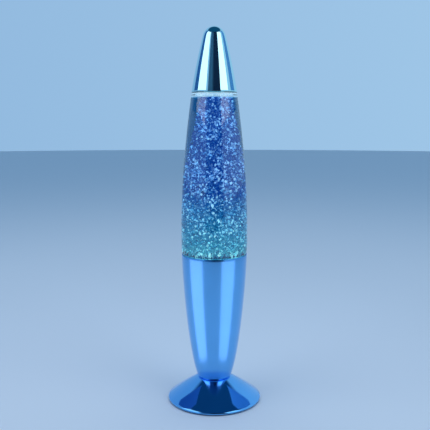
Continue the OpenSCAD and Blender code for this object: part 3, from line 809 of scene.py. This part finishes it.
def area_light(name, radiance, rgb, width, height, azimuth, elevation, distance, target_z):
    """A soft box that the camera can't see, facing a point on the lamp's axis.

    The azimuth runs from the front to the right, and it and the elevation are in degrees.
    """
    light = bpy.data.lights.new(name, "AREA")
    light.shape = "RECTANGLE"
    light.size, light.size_y = width, height
    light.energy = radiance * math.pi * width * height
    light.color = rgb
    box = bpy.data.objects.new(name, light)
    bpy.context.collection.objects.link(box)
    a, e = math.radians(azimuth), math.radians(elevation)
    away = (math.sin(a) * math.cos(e), -math.cos(a) * math.cos(e), math.sin(e))
    box.location = (distance * away[0], distance * away[1], target_z + distance * away[2])
    box.rotation_euler = (math.pi / 2 - e, 0, a)
    box.visible_camera = False
    return box


class LAMP_OT_stage(Operator):
    """Sets up the floor, the light and the camera"""

    bl_idname = "lamp.stage"
    bl_label = "Studio"

    def execute(self, context):
        s = context.scene.lamp_stage
        self.floor(s)
        self.flag(s)
        self.card("card_left", -0.4, s.card_left)
        self.card("card_right", 0.4, s.card_right)
        self.sky(context, s)
        self.lights()
        self.camera(context)
        context.scene.view_settings.view_transform = "Standard"
        return {"FINISHED"}

    def floor(self, s):
        bpy.ops.object.select_all(action="DESELECT")
        bpy.ops.mesh.primitive_circle_add(vertices=96, radius=6, fill_type="NGON", location=(0, 0, 0))
        floor = bpy.context.object
        floor.name = "floor"
        material, tree, output = new_material("matte floor")
        shader = add_node(tree, PRINCIPLED,
                          {"Base Color": (*s.floor_colour, 1), "Roughness": 0.55})
        tree.links.new(shader.outputs[0], output.inputs["Surface"])
        floor.data.materials.append(material)

    def flag(self, s):
        """Hangs dark cloth behind the camera, which the cap's middle and the glass mirror."""
        away, tall = 1.1, 1.9
        half_angle = 33             # degrees, as the lamp sees it
        width = 2 * away * math.tan(math.radians(half_angle))
        bpy.ops.object.select_all(action="DESELECT")
        bpy.ops.mesh.primitive_plane_add(size=1, location=(0, -away, tall / 2), rotation=(math.pi / 2, 0, 0))
        flag = bpy.context.object
        flag.name = "flag"
        flag.scale = (width, tall, 1)
        bpy.ops.object.transform_apply(location=True, rotation=True, scale=True)
        material, tree, output = new_material("dark cloth")
        place = add_node(tree, PLACE)
        split = add_node(tree, "ShaderNodeSeparateXYZ", {"Vector": place.outputs["Object"]})
        across = add_node(tree, "ShaderNodeMath", {0: split.outputs["X"], 1: 1 / width, 2: 0.5},
                          operation="MULTIPLY_ADD").outputs[0]
        cloth = ((0.3, s.flag_teal), (0.46, s.flag_dark))
        shade = add_node(tree, RAMP, {"Fac": across}, cloth).outputs["Color"]
        shader = add_node(tree, PRINCIPLED, {"Base Color": shade, "Roughness": 0.9})
        tree.links.new(shader.outputs[0], output.inputs["Surface"])
        flag.data.materials.append(material)
        flag.visible_camera = False

    def card(self, name, x, rgb):
        """Stands a coloured card beside the cap, which the camera can't see."""
        tall, deep = 0.44, 0.24
        behind, middle = 0.13, 0.56
        bpy.ops.object.select_all(action="DESELECT")
        bpy.ops.mesh.primitive_plane_add(size=1, location=(x, behind, middle), rotation=(0, math.pi / 2, 0))
        card = bpy.context.object
        card.name = name
        card.scale = (tall, deep, 1)
        bpy.ops.object.transform_apply(location=True, rotation=True, scale=True)
        material, tree, output = new_material(name)
        shader = add_node(tree, PRINCIPLED, {"Base Color": (*rgb, 1), "Roughness": 0.8})
        tree.links.new(shader.outputs[0], output.inputs["Surface"])
        card.data.materials.append(material)
        card.visible_camera = False

    def sky(self, context, s):
        world = bpy.data.worlds.new("studio")
        context.scene.world = world
        world.use_nodes = True
        tree = world.node_tree
        tree.nodes.clear()
        place = add_node(tree, PLACE)
        split = add_node(tree, "ShaderNodeSeparateXYZ", {"Vector": place.outputs["Generated"]})
        up = split.outputs["Z"]
        across = add_node(tree, "ShaderNodeMath", {0: split.outputs["X"], 1: 0.5, 2: 0.5},
                          operation="MULTIPLY_ADD").outputs[0]
        walls = ((0.1, s.sky_left), (0.9, s.sky_right))
        ceiling = ((0.7, grey(0)), (0.8, grey(1)))
        tone = add_node(tree, MIX, {
            "Factor_Float": add_node(tree, RAMP, {"Fac": up}, ceiling).outputs["Color"],
            "A_Color": add_node(tree, RAMP, {"Fac": across}, walls).outputs["Color"],
            "B_Color": (*s.sky_zenith, 1),
        }, data_type="RGBA").outputs[2]
        back = add_node(tree, "ShaderNodeBackground", {"Color": tone, "Strength": 1.0})
        add_node(tree, "ShaderNodeOutputWorld", {"Surface": back.outputs[0]})

    def lights(self):
        for name, width, azimuth in (("softbox_left", 0.66, -68), ("softbox_right", 0.54, 53)):
            area_light(name, radiance=0.98, rgb=WHITE, width=width, height=0.72,
                       azimuth=azimuth, elevation=0, distance=0.7, target_z=0.78)
        overhead = area_light("overhead_fill", radiance=2.1, rgb=WHITE, width=1.2, height=1.2,
                              azimuth=0, elevation=90, distance=1.6, target_z=0)
        overhead.visible_glossy = False
        self.cone_strip("strip_left", radiance=0.72, rgb=(0.98, 0.78, 1), width=60 * MM, azimuth=-57)
        self.cone_strip("strip_right", radiance=0.62, rgb=(0.92, 0.8, 1), width=56 * MM, azimuth=42)

    def cone_strip(self, name, radiance, rgb, width, azimuth):
        """Stands a narrow light near the cone, which only the cone mirrors."""
        strip = area_light(name, radiance, rgb, width, height=140 * MM,
                           azimuth=azimuth, elevation=0, distance=73 * MM, target_z=65 * MM)
        strip.visible_diffuse = False
        strip.visible_transmission = False
        receivers = bpy.data.collections.new(name + "_receivers")
        receivers.objects.link(bpy.data.objects["spun_cone"])
        strip.light_linking.receiver_collection = receivers

    def camera(self, context):
        data = bpy.data.cameras.new("camera")
        data.lens = LENS
        data.sensor_width = SENSOR
        camera = bpy.data.objects.new("camera", data)
        context.collection.objects.link(camera)
        camera.location = CAMERA_PLACE
        camera.rotation_euler = (math.radians(90 - CAMERA_TILT), 0, 0)
        context.scene.camera = camera


class LAMP_PT_panel(Panel):
    """Buttons that build the lamp"""

    bl_label = "Glitter lamp"
    bl_idname = "LAMP_PT_panel"
    bl_space_type = "VIEW_3D"
    bl_region_type = "UI"
    bl_category = "Lamp"

    def draw(self, context):
        for operator in OPERATORS:
            self.layout.operator(operator.bl_idname)


GROUPS = {
    "lamp_shells": LampShells,
    "lamp_bottle": LampBottle,
    "lamp_glitter": LampGlitter,
    "lamp_stage": LampStage,
}
OPERATORS = (LAMP_OT_cap, LAMP_OT_cone, LAMP_OT_foot, LAMP_OT_bottle, LAMP_OT_fluid, LAMP_OT_glitter,
             LAMP_OT_fittings, LAMP_OT_stage)


def register():
    """Registers every class and hangs the settings on the scene."""
    for group in GROUPS.values():
        bpy.utils.register_class(group)
    for name, group in GROUPS.items():
        setattr(bpy.types.Scene, name, PointerProperty(type=group))
    for operator in OPERATORS:
        bpy.utils.register_class(operator)
    bpy.utils.register_class(LAMP_PT_panel)


def unregister():
    """Takes everything out again."""
    bpy.utils.unregister_class(LAMP_PT_panel)
    for operator in reversed(OPERATORS):
        bpy.utils.unregister_class(operator)
    for name, group in GROUPS.items():
        delattr(bpy.types.Scene, name)
        bpy.utils.unregister_class(group)


def main():
    """Builds the lamp piece by piece."""
    register()
    for operator in OPERATORS:
        group, name = operator.bl_idname.split(".")
        getattr(getattr(bpy.ops, group), name)()


if __name__ == "__main__":
    main()
